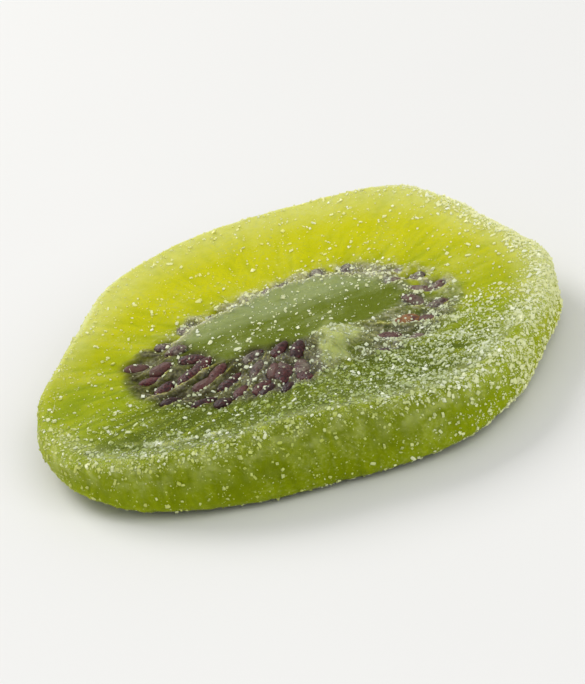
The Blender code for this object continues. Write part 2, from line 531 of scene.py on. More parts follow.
    def lower(self, angle: float, zone_share: float, rim_share: float) -> float:
        """The height of the underside: a hollow seeded zone, a warped ring round it, and a rim that curls up.

        Args:
            angle: The direction from the middle of the core.
            zone_share: 1 at the edge of the seeded zone.
            rim_share: 1 at the widest part of the rim.

        Returns:
            The height over the table.
        """
        hollow = 1.0 - smooth_step(self.groove_at, self.foot_ring_from, zone_share)
        core = 1.0 - smooth_step(self.under_core_edge, self.groove_at, zone_share)
        depth = self.under_groove_depth * hollow - (self.under_groove_depth - self.under_core_depth) * core
        walls = smooth_step(self.under_core_edge, self.under_wall_full, zone_share) * self.wall(angle)
        depth += self.warp.at(zone_share) * self.away_from_feet(angle)
        curl = round_curve(self.edge_lift, angle) * smooth_step(self.curl_from, 1.0, rim_share)
        return depth - self.under_wall_height * hollow * walls + curl

    def place(self, angle: float, station: float, level: float) -> Vector:
        """A point of the slice, measured from the middle of the core.

        Args:
            angle: The direction from the middle of the core.
            station: How far out it lies.
            level: How far up it lies.

        Returns:
            Its place.
        """
        zone = round_curve(self.zone_radius, angle)
        rim = round_curve(self.rim_radius, angle)
        inset = self.foot_inset + (self.crest_inset - self.foot_inset) * level
        past_zone = min(max(station - ZONE_EDGE, 0.0), 1.0)
        past_crest = max(station - CREST, 0.0)
        radius = zone * min(station, 1.0) + (rim - inset - zone) * past_zone + inset * past_crest
        x, y = radius * math.cos(angle), radius * math.sin(angle)
        wave = noise.noise(Vector((x / self.wave_size, y / self.wave_size, self.wave_change * level)))
        top = self.upper(angle, radius / zone, past_zone, y) + self.bridge_height * self.bridge.at(x, y)
        foot = self.lower(angle, radius / zone, radius / rim)
        z = foot + (top - foot + self.wave_height * wave) * level
        bulge = 4.0 * self.side_bulge * level * (1.0 - level) + self.side_wave_height * wave
        radius += past_crest * bulge
        return Vector((radius * math.cos(angle), radius * math.sin(angle), z))

    def offset(self, box: tuple[Vector, Vector]) -> Vector:
        """Puts the form, which is measured from the middle of the core, in its place.

        Args:
            box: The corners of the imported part's box.

        Returns:
            How far the form is moved.
        """
        turns = [step * math.tau / self.outline_steps for step in range(self.outline_steps)]
        around = [self.place(angle, WIDEST, level) for angle in turns for level in self.outline_levels]
        xs, ys = [p.x for p in around], [p.y for p in around]
        middle = (box[0] + box[1]) / 2.0
        return Vector((middle.x - (min(xs) + max(xs)) / 2.0, middle.y - (min(ys) + max(ys)) / 2.0, 0.0))


@dataclass(frozen=True)
class Details:
    """How much there is of each detail at a point, about 1 where there is most. A sunk streak is below 0."""

    streak: float
    bridge: float = 0.0
    knob: float = 0.0
    crease: float = 0.0
    knot: float = 0.0
    film: float = 0.0


@dataclass(frozen=True)
class Frosting:
    """How thickly crystals lie on the slice: 0 is none, 1 is a crust."""

    crest: float = 0.09
    front_crest: float = 0.30
    back_flesh: float = 0.032
    front_flesh: float = 0.085
    right_flesh: float = 0.36
    core: float = 0.040
    side: float = 0.055
    right_side: float = 0.38
    underside: float = 0.11
    crease: float = 0.7
    knot: float = 0.8
    film: float = 0.14
    streaked: float = 0.9
    off_bridge: float = 0.7
    off_bare_seeds: float = 0.6
    to_front: Rise = Rise(1.0 * MM, 8.0 * MM)
    to_right: Rise = Rise(-4.0 * MM, 12.0 * MM)
    right_end: Rise = Rise(12.0 * MM, 19.0 * MM, 0.46)
    to_right_side: Rise = Rise(9.0 * MM, 19.0 * MM)
    off_core: Rise = Rise(0.55, 1.05)
    to_crest: Rise = Rise(1.80, 1.96)
    to_edge: Rise = Rise(0.70, 1.0)
    knob: Rise = Rise(0.3, 0.8, 0.22)
    underside_below: float = 0.02
    clump_size: float = 2.2 * MM
    clump_detail: float = 0.35
    clumping: float = 0.7

    def even(self, at: Point) -> float:
        """The sugar at a point, without what its details add or keep off.

        Args:
            at: The point.

        Returns:
            The share of the surface that sugar covers.
        """
        x, y, _ = at.place
        front = self.to_front.at(-y)
        right = self.to_right.at(x)
        crest = self.crest + self.front_crest * front + self.right_end.at(x)
        if at.level < self.underside_below:
            share = self.underside
        elif at.station <= CREST:
            bowl = self.front_flesh + (self.right_flesh - self.front_flesh) * right
            flesh = self.back_flesh + front * bowl
            share = self.core + (flesh - self.core) * self.off_core.at(at.station)
            share += (crest - share) * self.to_crest.at(at.station)
        else:
            share = self.side + (self.right_side - self.side) * self.to_right_side.at(x)
            share += (max(crest, share) - share) * self.to_edge.at(at.level)
        clumps = noise_twice(at.place, self.clump_size, self.clump_detail, 1.0)
        return min(max(share * (1.0 + self.clumping * clumps), 0.0), 1.0)

    def amount(self, at: Point, details: Details, bare: float) -> float:
        """The sugar at a point.

        Args:
            at: The point.
            details: The details there.
            bare: How bare the seeds round it are.

        Returns:
            The share of the surface that sugar covers.
        """
        share = self.even(at) * (1.0 + self.streaked * details.streak)
        share *= 1.0 - self.off_bridge * smooth_step(0.0, 1.0, details.bridge)
        share += self.crease * details.crease + self.knot * details.knot
        share *= 1.0 - self.off_bare_seeds * bare
        share += self.film * details.film + self.knob.at(details.knob)
        return min(max(share, 0.0), 1.0)


@dataclass(frozen=True)
class Haze:
    """The bloom of fine sugar that pales the flesh: on the rim at the back, where it is also painted sheen,
    and in a line and spots in front.
    """

    inner_rim: Rise = Rise(1.55, 2.0, 0.45)
    outer_rim: Rise = Rise(1.88, 2.35, 0.55)
    rim_level: Rise = Rise(0.55, 0.9)
    front_rim: float = 0.03
    # The back rim: fine sugar and a painted sheen.
    back_rim_sheen_and_frost: Rise = Rise(-4.0 * MM, 9.0 * MM, 0.72)
    back_lean: float = 0.33
    back_ends: float = 0.17
    to_front: Rise = Rise(3.0 * MM, 9.0 * MM)
    crest_line: Spot = Spot((1.93,), (0.10,))
    line: float = 0.20
    line_above: float = 0.5
    mottle_size: float = 0.9 * MM
    mottle_detail: float = 0.4
    mottle_roughness: float = 0.6
    mottle: Rise = Rise(-0.3, 0.6, 0.26)
    mottle_station: Rise = Rise(2.2, 2.8)
    mottle_level: Rise = Rise(0.30, 0.95)
    crease: float = 0.6
    knot: float = 0.8
    knob: float = 0.30

    def front(self, at: Point) -> float:
        """The haze of the front: a line along the crest, and spots under it.

        Args:
            at: The point.

        Returns:
            Its amount there.
        """
        line = self.crest_line.at(at.station) if at.level > self.line_above else 0.0
        spots = noise_twice(at.place, self.mottle_size, self.mottle_detail, self.mottle_roughness)
        mottle = self.mottle.at(spots) * self.mottle_station.at(at.station) * self.mottle_level.at(at.level)
        return self.to_front.at(-at.place.y) * max(self.line * line, mottle)

    def amount(self, at: Point, details: Details) -> float:
        """The haze at a point.

        Args:
            at: The point.
            details: The details there.

        Returns:
            Its amount there.
        """
        x, y, _ = at.place
        rim = (self.inner_rim.at(at.station) + self.outer_rim.at(at.station)) * self.rim_level.at(at.level)
        back = self.back_rim_sheen_and_frost.at(y + self.back_lean * x + self.back_ends * abs(x))
        sugary = max(self.crease * details.crease, self.knot * details.knot, self.knob * details.knob)
        return max(rim * (self.front_rim + back), self.front(at), sugary)


@dataclass(frozen=True)
class Glow:
    """Light through the flesh, painted into its colour: most at the back and the ends, least in the front
    bowl.
    """

    bowl: Rise = Rise(-9.0 * MM, 3.0 * MM, 0.62)
    back: Rise = Rise(3.0 * MM, 17.0 * MM, 0.38)
    ends: float = 0.9
    ends_from: float = 12.0 * MM
    right: Rise = Rise(6.0 * MM, 17.0 * MM, 0.15)
    left: Rise = Rise(12.0 * MM, 21.0 * MM, 0.14)
    underside: float = 0.55
    side: float = 0.23
    side_ends: float = 0.12
    side_ends_at: float = 15.0 * MM
    side_back: Rise = Rise(2.0 * MM, 15.0 * MM, 0.40)
    side_right: Rise = Rise(8.0 * MM, 20.0 * MM, 0.10)
    side_foot: Rise = Rise(0.5, 1.0, 0.10)
    side_top: Rise = Rise(0.75, 1.0)

    def face(self, place: Vector, level: float) -> float:
        """The light through a cut face.

        Args:
            place: Where, from the middle of the core.
            level: 1 for the upper face and 0 for the lower.

        Returns:
            Its share there.
        """
        radius = place.xy.length
        reach = place.y + self.ends * max(radius - self.ends_from, 0.0) * abs(place.x) / max(radius, MM)
        share = self.bowl.at(reach) + self.back.at(reach)
        share += self.right.at(place.x) * (1.0 - share) - self.left.at(-place.x)
        return share * (self.underside + (1.0 - self.underside) * level)

    def flank(self, place: Vector, level: float) -> float:
        """The light through the side: like the cut face at the top, less and evenly below.

        Args:
            place: Where, from the middle of the core.
            level: How far up.

        Returns:
            Its share there.
        """
        side = self.side + self.side_ends * (place.x / self.side_ends_at) ** 2
        side += self.side_back.at(place.y) + self.side_right.at(place.x) + self.side_foot.at(1.0 - level)
        return side + max(self.face(place, 1.0) - side, 0.0) * self.side_top.at(level)

    def amount(self, at: Point) -> float:
        """The painted light that comes through at a point."""
        through = self.face if at.station <= CREST else self.flank
        return through(at.place, at.level)


@dataclass(frozen=True)
class FleshFinish:
    """Candied flesh: a translucent yellow green under a dusting of sugar, with the light through it painted
    into its colour.
    """

    # The first three colours are the flesh shaded, half lit and fully lit: painted light through the flesh.
    dark: Colour = (0.084, 0.117, 0.001)
    half_lit: Colour = (0.258, 0.325, 0.001)
    fully_lit: Colour = (0.54, 0.535, 0.001)
    fibre: Colour = (0.30, 0.34, 0.01)
    # The core colour and the pale one after it: the core darker at the front as painted shade of its front
    # slope, paler at the back and top as painted sheen.
    core: Colour = (0.120, 0.158, 0.008)
    core_sheen: Colour = (0.255, 0.305, 0.110)
    membrane: Colour = (0.17, 0.165, 0.10)
    film: Colour = (0.52, 0.50, 0.38)
    bridge: Colour = (0.37, 0.42, 0.14)
    # The painted shade in the gaps round the seeds.
    pocket: Colour = (0.042, 0.037, 0.012)
    # The pale of fine sugar, and on the back rim also a painted sheen.
    haze: Colour = (0.74, 0.77, 0.36)
    dust: Colour = (0.46, 0.54, 0.09)
    patches: Speckle = Speckle(4.5 * MM, 3.0)
    fibres: Speckle = Speckle(0.8 * MM, 4.0)
    fine: Speckle = Speckle(0.28 * MM, 3.0)
    grains: Speckle = Speckle(0.11 * MM, 2.0)
    strands: Speckle = Speckle(0.9 * MM, 3.0, (0.3, 1.0, 1.0))
    light: Mix = Mix((0.34, 0.22, 0.22), -0.28)
    half_lit_cover: Mix = Mix((2.2,))
    fully_lit_cover: Mix = Mix((1.8,), -0.81)
    fibre_cover: Mix = Mix((1.0, 0.3), rise=Rise(0.52, 0.75, 0.35))
    core_sheen_share: Mix = Mix((1.3, 0.7, 0.7), -1.35)
    gap_shade_cover: Mix = Mix((0.9,), 0.55)
    dryness: Mix = Mix((0.5, 0.5, 0.35), rise=Rise(0.55, 0.85))
    veil_cover: Mix = Mix((1.0,), 0.4)
    bridge_cover: Mix = Mix((1.1,), 0.3)
    haze_cover: Mix = Mix((1.2,), 0.4)
    haze_spots: Mix = Mix((1.0, 1.0), rise=Rise(0.95, 1.35, 0.12))
    dust_cover: Mix = Mix((0.5, 1.0), rise=Rise(0.70, 0.92, 0.5))
    relief: Mix = Mix((0.6, 0.4))
    relief_depth: float = 0.10 * MM
    roughness: Mix = Mix((0.3,), 0.42)
    sheen: float = 0.03
    translucence: float = 0.8
    depth_of_glow: float = 1.6 * MM
    glow: Colour = (1.0, 0.95, 0.10)

    def material(self) -> bpy.types.Material:
        """Makes the material, which reads the flesh's marks.

        Returns:
            The material.
        """
        shading = Shading("candied_flesh")
        patches, fibres = shading.speckle(self.patches), shading.speckle(self.fibres)
        fine, grains = shading.speckle(self.fine), shading.speckle(self.grains)
        strands = shading.speckle(self.strands)
        streaks = shading.mark(Mark.STREAK)
        lit = shading.mark(Mark.GLOW) + self.light.of(patches, fibres, streaks)
        # The core: painted shade at its front, painted sheen at its back and top, in cloudy patches.
        core_sheen_amount = shading.mark(Mark.TONE) + self.core_sheen_share.of(strands, fibres, patches)
        core = shading.blend(self.core, self.core_sheen, core_sheen_amount)
        veil = shading.blend(self.membrane, self.film, self.dryness.of(fine, fibres, patches))
        dust = self.dust_cover.of(shading.mark(Mark.FROST), grains)
        haze = shading.mark(Mark.HAZE) * self.haze_cover.of(fibres) + self.haze_spots.of(patches, fine)
        colour = shading.layers(
            self.dark,
            # Painted light: the flesh goes from dark to half lit to fully lit where more light comes through.
            (self.half_lit, self.half_lit_cover.of(lit)),
            (self.fully_lit, self.fully_lit_cover.of(lit)),
            (self.fibre, self.fibre_cover.of(fine, streaks)),
            (core, shading.mark(Mark.CORE)),
            # Painted shade in the gaps round the seeds.
            (self.pocket, shading.mark(Mark.GAP_SHADE) * self.gap_shade_cover.of(fibres)),
            (veil, shading.mark(Mark.MEMBRANE) * self.veil_cover.of(fine)),
            (self.bridge, shading.mark(Mark.BRIDGE) * self.bridge_cover.of(fibres)),
            (self.haze, haze),
            (self.dust, dust),
        )
        return shading.finish(
            Base_Color=colour,
            Roughness=self.roughness.of(dust),
            Subsurface_Weight=self.translucence,
            Subsurface_Radius=self.glow,
            Subsurface_Scale=self.depth_of_glow,
            Specular_IOR_Level=self.sheen,
            Normal=shading.bump(self.relief.of(grains, fine), self.relief_depth),
        )


@dataclass
class Flesh:
    """The flesh and core in one piece, as the solid has them, with the relief too fine for the solid.

    A sugared knob tops the bridge. At the front left, a short crease by the crest ends in a knot of sugar.
    """

    form: SliceForm
    offset: Vector
    finish: FleshFinish
    frosting: Frosting = Frosting()
    haze: Haze = Haze()
    glow: Glow = Glow()
    segments: int = 432
    seam_reach: float = 1e-5
    zone_rings: int = 44
    flesh_rings: int = 32
    edge_rings: int = 7
    side_rings: int = 12
    under_rings: int = 26
    seeded_rise: Rise = Rise(-0.04, 0.08)
    seeded_fall: Rise = Rise(0.94, 1.08)
    fibre_height: float = 0.035 * MM
    fibre_length: float = 4.0 * MM
    fibres_per_radian: float = 26.0
    fibre_change: float = 9.0
    streak_height: float = 0.05 * MM
    streaks_per_radian: float = 55.0
    streak_change: float = 2.4
    streak_rise: Rise = Rise(0.6, 1.2)
    side_streaks: Rise = Rise(CREST, 2.5, 0.6)
    lump_size: float = 1.5 * MM
    lump_height: float = 0.06 * MM
    fine_lumps: float = 0.35
    fine_lump_ratio: float = 3.0
    other_lumps: tuple[float, ...] = (5.0, 0.0, 0.0)
    sugar_room: float = 0.06 * MM
    membrane_height: float = 0.18 * MM
    membrane_sharpness: int = 5
    membrane_gaps: Rise = Rise(-0.15, 0.25)
    membrane_gap_turn: float = 6.0
    membrane_gap_cut: float = 3.0
    membrane_rise: Rise = Rise(0.0, 0.15)
    membrane_fall: Rise = Rise(0.98, 1.14)
    film_height: float = 0.24 * MM
    film_patch: float = 1.7 * MM
    film_detail: float = 0.4
    film_roughness: float = 0.5
    film_back: Rise = Rise(-0.2, 0.2)
    film_left: Rise = Rise(-11.5 * MM, -8.0 * MM)
    film_middle: Rise = Rise(-8.0 * MM, -3.0 * MM, 0.35)
    film_right: Rise = Rise(4.0 * MM, 8.0 * MM, 0.55)
    film_gaps: Rise = Rise(-0.6, 0.05)
    bridge_lump: float = 0.42 * MM
    bridge_grain: float = 1.2 * MM
    bridge_roughness: float = 0.3
    bridge_rise: Rise = Rise(0.16, 0.6)
    bridge_fade: Rise = Rise(-10.0 * MM, -6.5 * MM)
    knob: Spot = Spot(millimetres(3.9, -3.8), millimetres(1.7, 1.1))
    knob_height: float = 0.40 * MM
    knob_roughness: float = 1.2
    knob_rise: Rise = Rise(0.2, 0.55)
    # The pocket sinks the flesh round a seed. The gap round a seed is painted dark as shade, fading from the
    # pocket's low end outwards, wider where the seeds are bare, and over the seeded zone in front at the
    # right.
    pocket_depth: float = 0.20 * MM
    pocket: Rise = Rise(0.6 * MM, 1.5 * MM)
    gap_shade_to: float = 1.15 * MM
    bare_gap_shade: float = 1.0 * MM
    gap_shade_forward: Rise = Rise(0.0, 4.0 * MM)
    gap_shade_right: Rise = Rise(4.0 * MM, 7.0 * MM, 0.55)
    gap_shade_where_bare: float = 0.95
    wrinkles_per_radian: float = 16.0
    wrinkle_length: float = 2.2 * MM
    wrinkle_height: float = 0.14 * MM
    wrinkle_sharpness: float = 4.0
    wrinkle_rise: Rise = Rise(-0.1, 0.15)
    wrinkle_fall: Rise = Rise(1.0, 1.2)
    crease: Spot = Spot((1.8, CREASE_ANGLE), (0.04, 0.2))
    crease_depth: float = 0.26 * MM
    crease_sugar_inset: float = 0.07
    crease_break: float = 0.8 * MM
    crease_gaps: Rise = Rise(-0.5, 0.3)
    knot: Spot = Spot((1.75, CREASE_ANGLE + 0.20), (0.045, 0.032))
    knot_height: float = 0.20 * MM
    shade: Rise = Rise(-1.5 * MM, 2.5 * MM, 0.7)
    wall_veil: float = 0.6
    wrinkle_veil: float = 0.36
    core_mark: Rise = Rise(0.05, 0.12)
    core_sheen_rise: Rise = Rise(1.4 * MM, 4.6 * MM)
    core_sheen_lean: float = 0.04
    white_seeds: float = 0.6
    off_seeds: Rise = Rise(0.9, 1.1)
    white_right: Rise = Rise(2.0 * MM, 12.0 * MM, 0.36)
    white_crease: float = 0.9

    def half_section(self) -> list[tuple[float, float]]:
        """The half section, from the middle of the upper face to the lower's.

        Returns:
            The station and the level of each of its points.
        """
        quarter = [math.pi / 2.0 * step / self.edge_rings for step in range(1, self.edge_rings)]
        drop = self.form.edge_rounding
        points = [(step / self.zone_rings, 1.0) for step in range(self.zone_rings)]
        points += [(ZONE_EDGE + step / self.flesh_rings, 1.0) for step in range(self.flesh_rings + 1)]
        points += [(CREST + math.sin(a), 1.0 - drop * (1.0 - math.cos(a))) for a in quarter]
        straight = 1.0 - 2.0 * drop
        sides = (1.0 - drop - straight * step / self.side_rings for step in range(self.side_rings + 1))
        points += [(WIDEST, level) for level in sides]
        points += [(CREST + math.cos(a), drop * (1.0 - math.sin(a))) for a in quarter]
        points += [(CREST - step / self.under_rings, 0.0) for step in range(self.under_rings)]
        points += [(ZONE_EDGE - step / self.under_rings, 0.0) for step in range(self.under_rings + 1)]
        return points

    def in_zone(self, at: Point, rise: Rise, fall: Rise) -> float:
        """1 from the core's edge, where the rise is measured from, to the fall."""
        from_core = at.station - self.form.core_edge(at.angle)
        return rise.at(from_core) * (1.0 - fall.at(at.station))

    def seeded(self, at: Point) -> float:
        """1 between the core and the edge of the seeded zone, 0 elsewhere."""
        return self.in_zone(at, self.seeded_rise, self.seeded_fall)

    def membrane(self, at: Point) -> float:
        """A thin wall between two seed chambers, where the seeds are. Some walls are missing.

        Args:
            at: The point.

        Returns:
            1 on a wall, 0 elsewhere.
        """
        sharp = max(self.form.wall(at.angle), 0.0) ** self.membrane_sharpness
        there = noise_round(at.angle, self.membrane_gap_turn, self.membrane_gap_cut)
        walls = sharp * self.membrane_gaps.at(there)
        return walls * self.in_zone(at, self.membrane_rise, self.membrane_fall)

    def wrinkle(self, at: Point) -> float:
        """Fine wrinkles that run outwards through the seeded zone.

        Args:
            at: The point.

        Returns:
            1 on the crest of a wrinkle, 0 between wrinkles.
        """
        swing = noise_round(at.angle, self.wrinkles_per_radian, at.place.xy.length / self.wrinkle_length)
        ridge = 1.0 - min(self.wrinkle_sharpness * abs(swing), 1.0)
        return ridge * ridge * self.in_zone(at, self.wrinkle_rise, self.wrinkle_fall)

    def film(self, at: Point) -> float:
        """The film of sugar that has dried over the seeds in patches: most at the back, some at the right.

        Args:
            at: The point.

        Returns:
            How thick it is there, up to 1.
        """
        x = at.place.x
        back = self.film_back.at(math.sin(at.angle)) * self.film_left.at(x)
        patch = noise_twice(at.place, self.film_patch, self.film_detail, self.film_roughness)
        thickest = max(back, self.film_right.at(x), self.film_middle.at(x))
        return self.seeded(at) * thickest * self.film_gaps.at(patch)

    def streak(self, at: Point) -> float:
        """Radial fibres on the cut faces and streaks down the side.

        Args:
            at: The point.

        Returns:
            How high they stand there, from -1 to 1 and 0 on the core.
        """
        if at.station > CREST:
            turn, along = self.streaks_per_radian, self.streak_change * at.level
        else:
            turn = self.fibres_per_radian
            along = at.place.xy.length / self.fibre_length + self.fibre_change * at.level
        return noise_round(at.angle, turn, along) * self.streak_rise.at(at.station)

    def details(self, at: Point) -> Details:
        """What there is at a point, most of it on the upper face alone.

        Args:
            at: The point.

        Returns:
            The details there.
        """
        if at.level != Face.UPPER.value:
            return Details(self.streak(at))
        turned = at.angle % math.tau
        crease = self.crease.at(at.station + self.crease_sugar_inset, turned)
        rough = self.bridge_roughness * noise.noise(at.place / self.bridge_grain)
        return Details(
            streak=self.streak(at),
            bridge=self.form.bridge.at(*at.place.xy) + rough,
            knob=self.knob.at(*at.place.xy),
            crease=crease * self.crease_gaps.at(noise.noise(at.place / self.crease_break)),
            knot=self.knot.at(at.station, turned),
            film=self.film(at),
        )

    def relief(self, at: Point) -> float:
        """How far fibres, lumps, streaks and membranes raise the surface.

        Args:
            at: The point.

        Returns:
            The height of the relief there.
        """
        lumps = self.lump_height * noise.noise(at.place / self.lump_size)
        fine = noise.noise(self.fine_lump_ratio * at.place / self.lump_size)
        lumps += self.fine_lumps * self.lump_height * fine
        if at.station > CREST:
            return lumps + self.streak_height * self.streak(at)
        turned = at.angle % math.tau
        lump = noise.noise(at.place / self.lump_size + Vector(self.other_lumps))
        upper = self.knot_height * self.knot.at(at.station, turned)
        upper -= self.crease_depth * self.crease.at(at.station, turned)
        upper += self.film_height * self.film(at) + self.membrane_height * self.membrane(at)
        upper += self.bridge_lump * lump * self.form.bridge.at(*at.place.xy)
        upper += self.knob_height * (1.0 + self.knob_roughness * lump) * self.knob.at(*at.place.xy)
        fibres = self.fibre_height * self.streak(at) + self.wrinkle_height * self.wrinkle(at)
        return lumps + fibres + upper * at.level

    def gap_shade(self, at: Point, distance: float) -> float:
        """The painted shade of the gap round a seed, and, where the seeds are bare, of all that is between
        them.

        Args:
            at: The point.
            distance: How far it is from the middle of the nearest seed.

        Returns:
            1 in the gap, 0 away from it.
        """
        bare = self.form.bare(at.place)
        right = self.gap_shade_forward.at(-at.place.y) * self.gap_shade_right.at(at.place.x)
        between = max(self.gap_shade_where_bare * bare, right) * self.seeded(at) * at.level
        return max(1.0 - smooth_step(self.pocket.low, self.gap_shade_to + bare * self.bare_gap_shade, distance), between)

    def marks(self, at: Point, distance: float) -> dict[Mark, float]:
        """What the flesh is at a point.

        Args:
            at: The point.
            distance: How far it is from the middle of the nearest seed.

        Returns:
            Each mark's amount there.
        """
        x, y, _ = at.place
        details = self.details(at)
        upper = at.level == Face.UPPER.value
        edge = self.form.core_edge(at.angle) if upper else self.form.core_edge_back
        seeded = self.seeded(at)
        walls = max(self.wall_veil * self.membrane(at), self.wrinkle_veil * self.wrinkle(at))
        bridge = self.bridge_fade.at(y) * self.bridge_rise.at(details.bridge)
        shade = self.shade.at(-y) * seeded
        white = max(self.white_seeds * (1.0 - self.off_seeds.at(at.station)), self.white_right.at(x))
        return {
            Mark.CORE: 1.0 - self.core_mark.at(at.station - edge),
            Mark.STREAK: details.streak * (1.0 - self.side_streaks.at(at.station)),
            Mark.FROST: self.frosting.amount(at, details, self.form.bare(at.place) * seeded),
            Mark.MEMBRANE: max(walls, details.film),
            Mark.BRIDGE: max(bridge, self.knob_rise.at(details.knob)),
            Mark.GLOW: self.glow.amount(at) * (1.0 - shade),
            Mark.HAZE: self.haze.amount(at, details),
            # The core's painted sheen: 0 at its front, 1 at its back.
            Mark.TONE: self.core_sheen_rise.at(y - self.core_sheen_lean * x),
            Mark.WHITE: max(white, self.white_crease * details.crease, self.white_crease * details.knot),
            Mark.GAP_SHADE: self.gap_shade(at, distance),
        }

    def blank(self) -> bmesh.types.BMesh:
        """Spins the half section round +Z.

        Returns:
            A mesh with stations for radii and levels for heights.
        """
        mesh = bmesh.new()
        points = [mesh.verts.new((station, 0.0, level)) for station, level in self.half_section()]
        edges = [mesh.edges.new(pair) for pair in zip(points, points[1:])]
        bmesh.ops.spin(
            mesh,
            geom=points + edges,
            axis=(0.0, 0.0, 1.0),
            cent=(0.0, 0.0, 0.0),
            angle=math.tau,
            steps=self.segments,
            use_merge=True,
        )
        bmesh.ops.remove_doubles(mesh, verts=mesh.verts, dist=self.seam_reach)
        return mesh

    def build(self, seeds: kdtree.KDTree) -> bpy.types.Object:
        """Makes the flesh.

        Args:
            seeds: The seeds' middles, round which the flesh sinks and is painted darker as shade.

        Returns:
            The dressed piece.
        """
        mesh = self.blank()
        turned = []
        for vertex in mesh.verts:
            angle = math.atan2(vertex.co.y, vertex.co.x)
            turned.append((angle, math.hypot(vertex.co.x, vertex.co.y), vertex.co.z))
            vertex.co = self.form.place(*turned[-1])
        bmesh.ops.recalc_face_normals(mesh, faces=mesh.faces)
        mesh.normal_update()
        layers = {mark: mesh.verts.layers.float.new(mark.value) for mark in Mark}
        for vertex, (angle, station, level) in zip(mesh.verts, turned):
            at = Point(angle, station, level, vertex.co.copy())
            distance = seeds.find(at.place + self.offset)[2]
            for mark, amount in self.marks(at, distance).items():
                vertex[layers[mark]] = amount
            pocket = self.pocket_depth * (1.0 - self.pocket.at(distance))
            sunk = pocket * (1.0 - self.membrane(at)) + self.sugar_room * level
            vertex.co += vertex.normal * (self.relief(at) - sunk)
            vertex.co += self.offset
            vertex.co.z = max(vertex.co.z, 0.0)
        return add_piece("slice_flesh", mesh, self.finish.material())


@dataclass(frozen=True)
class SeedFinish:
    """Seed skin: a dark, wrinkled maroon brown, with a dull grey green film where sugar has dried on it."""

    dark: Colour = (0.022, 0.007, 0.007)
    warm: Colour = (0.125, 0.027, 0.028)
    film: Colour = (0.130, 0.110, 0.080)
    amber: Colour = (0.30, 0.12, 0.012)
    veil: Colour = (0.34, 0.32, 0.24)
    streaks: Speckle = Speckle(0.22 * MM, 4.0)
    patches: Speckle = Speckle(0.75 * MM, 3.0)
    warm_cover: Mix = Mix((0.35, 1.0), rise=Rise(0.45, 0.90))
    film_cover: Mix = Mix((0.55, 0.25, 0.4), rise=Rise(0.56, 0.82, 0.42))
    amber_cover: Mix = Mix((1.0, 0.4), rise=Rise(1.13, 1.18, 0.8))
    veil_cover: Mix = Mix((1.0, 0.5), rise=Rise(0.55, 0.95))
    relief_depth: float = 0.16 * MM
    roughness: Mix = Mix((0.3,), 0.34)
    sheen: float = 0.28

    def material(self) -> bpy.types.Material:
        """Makes the material, which reads each seed's tone and veil.

        Returns:
            The material.
        """
        shading = Shading("seed_skin")
        tone = shading.mark(Mark.TONE)
        streaks, patches = shading.speckle(self.streaks), shading.speckle(self.patches)
        film = self.film_cover.of(patches, streaks, tone)
        colour = shading.layers(
            self.dark,
            (self.warm, self.warm_cover.of(tone, streaks)),
            (self.film, film),
            (self.amber, self.amber_cover.of(tone, patches)),
            (self.veil, shading.mark(Mark.HAZE) * self.veil_cover.of(patches, streaks)),
        )
        return shading.finish(
            Base_Color=colour,
            Roughness=self.roughness.of(film),
            Specular_IOR_Level=self.sheen,
            Normal=shading.bump(streaks, self.relief_depth),
        )


@dataclass(frozen=True)
class SeedRow:
    """A row of seeds round part of the core, one in every so many chambers within reach of its middle."""

    share: float
    middle: float = 0.0
    reach: float = 180.0
    every: int = 1

    def has(self, chamber: int, angle: float) -> bool:
        """Whether there is a seed in a chamber, at an angle."""
        turned = (angle - math.radians(self.middle) + math.pi) % math.tau - math.pi
        return abs(turned) <= math.radians(self.reach) and chamber % self.every == 0


